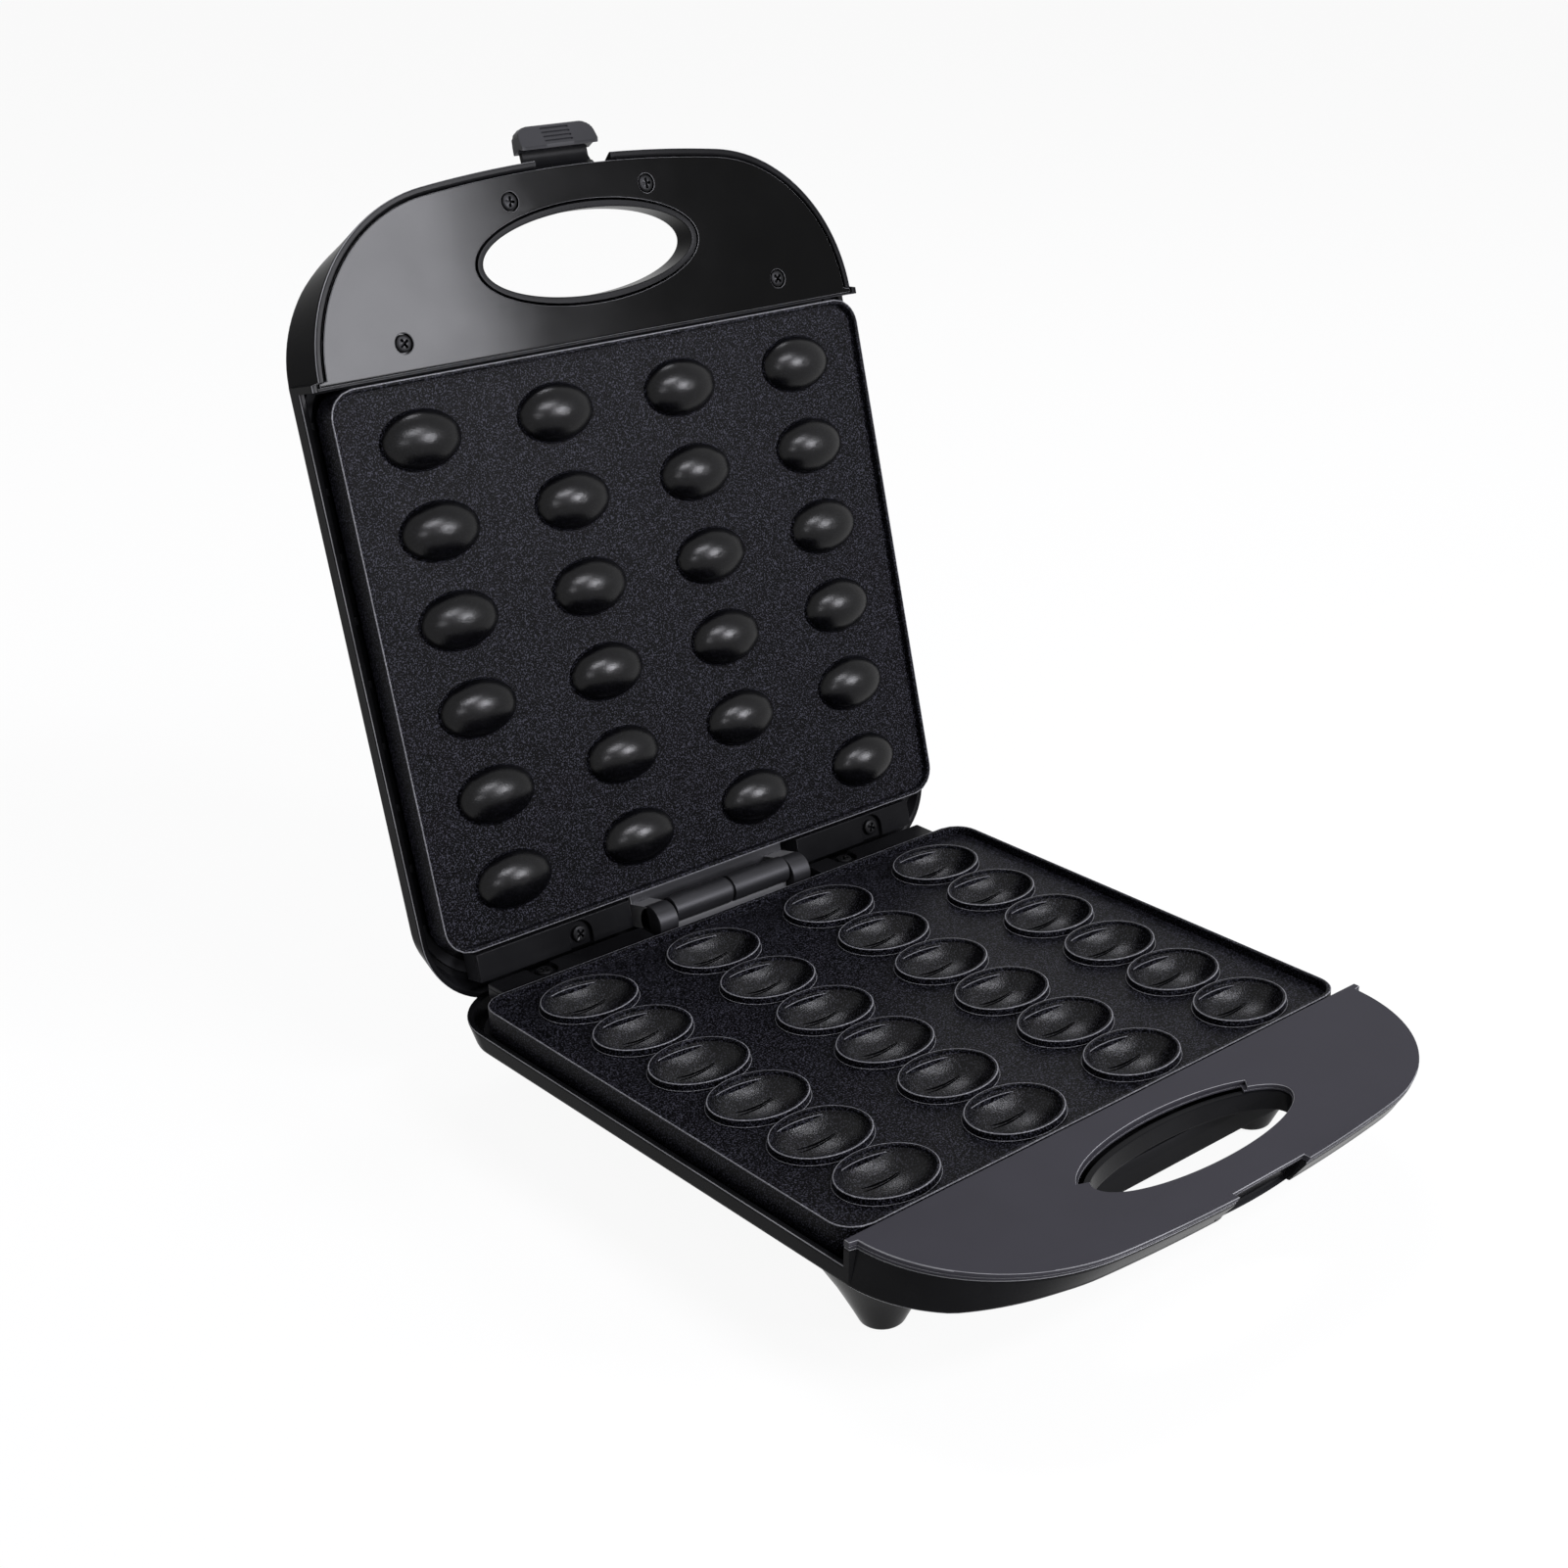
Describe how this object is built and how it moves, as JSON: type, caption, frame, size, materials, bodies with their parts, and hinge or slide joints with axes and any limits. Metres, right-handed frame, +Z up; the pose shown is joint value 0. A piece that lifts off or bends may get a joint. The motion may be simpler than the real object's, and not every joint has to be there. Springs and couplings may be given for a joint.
{
  "type": "walnut cookie maker",
  "caption": "Electric walnut cookie maker standing open: a hinged clamshell press with a cup plate below, a dome plate in the lid, a hand hole in each handle and a front latch.",
  "frame": {"origin": "on the table under the middle of the open machine's bounding box", "axes": "+X to the machine's right seen from its front, +Y from the handle to the hinge, +Z up"},
  "size_m": [0.26, 0.3866, 0.357],
  "materials": {
    "casing_plastic": "satin black moulded plastic",
    "base_panel_plastic": "satin dark grey moulded plastic",
    "gloss_panel": "glossy black moulded plastic",
    "coated_aluminium": "cast aluminium with a speckled black non-stick coating",
    "heater_steel": "dull sheathed heating tube",
    "sheet_steel": "bright sheet and turned steel",
    "hinge_steel": "dark satin steel",
    "screw_steel": "blackened steel",
    "foot_rubber": "black rubber",
    "ceramic_white": "off-white insulating body",
    "red_lens": "red clear lens",
    "green_lens": "green clear lens"
  },
  "bodies": {
    "base": {"base_shell": "casing_plastic", "base_handle_panel": "base_panel_plastic", "cup_plate": "coated_aluminium", "base_heater": "heater_steel", "base_heat_shield": "sheet_steel", "thermostat": "ceramic_white", "thermal_fuse": "ceramic_white", "terminal_block": "ceramic_white", "cord_inlet_bush": "foot_rubber", "base_hinge_bracket": "hinge_steel", "hinge_pin": "hinge_steel", "base_spacer_1": "sheet_steel", "base_spacer_2": "sheet_steel", "base_spacer_3": "sheet_steel", "base_spacer_4": "sheet_steel", "foot_front_left": "casing_plastic", "foot_pad_front_left": "foot_rubber", "foot_front_right": "casing_plastic", "foot_pad_front_right": "foot_rubber", "foot_rear_left": "casing_plastic", "foot_pad_rear_left": "foot_rubber", "foot_rear_right": "casing_plastic", "foot_pad_rear_right": "foot_rubber", "base_rear_screw_1": "screw_steel", "base_rear_screw_2": "screw_steel"},
    "lid": {"lid_shell": "casing_plastic", "lid_handle_panel": "gloss_panel", "dome_plate": "coated_aluminium", "lid_heater": "heater_steel", "lid_heat_shield": "sheet_steel", "lid_hinge_bracket": "hinge_steel", "power_lamp": "red_lens", "ready_lamp": "green_lens", "latch_pin": "hinge_steel", "lid_spacer_1": "sheet_steel", "lid_spacer_2": "sheet_steel", "lid_spacer_3": "sheet_steel", "lid_spacer_4": "sheet_steel", "lid_panel_screw_1": "screw_steel", "lid_panel_screw_2": "screw_steel", "lid_panel_screw_3": "screw_steel", "lid_panel_screw_4": "screw_steel", "lid_rear_screw_1": "screw_steel", "lid_rear_screw_2": "screw_steel"},
    "latch_clip": {"latch": "casing_plastic"}
  },
  "joints": [
    {"name": "lid_hinge", "type": "hinge", "parent": "base", "child": "lid", "pos_m": [0, 0.10635, 0.05541], "axis": [1, 0, 0], "range_deg": [0, 103.3]},
    {"name": "latch_swing", "type": "hinge", "parent": "lid", "child": "latch_clip", "pos_m": [0, 0.18322, 0.33805], "axis": [1, 0, 0], "range_deg": [0, 74]}
  ]
}
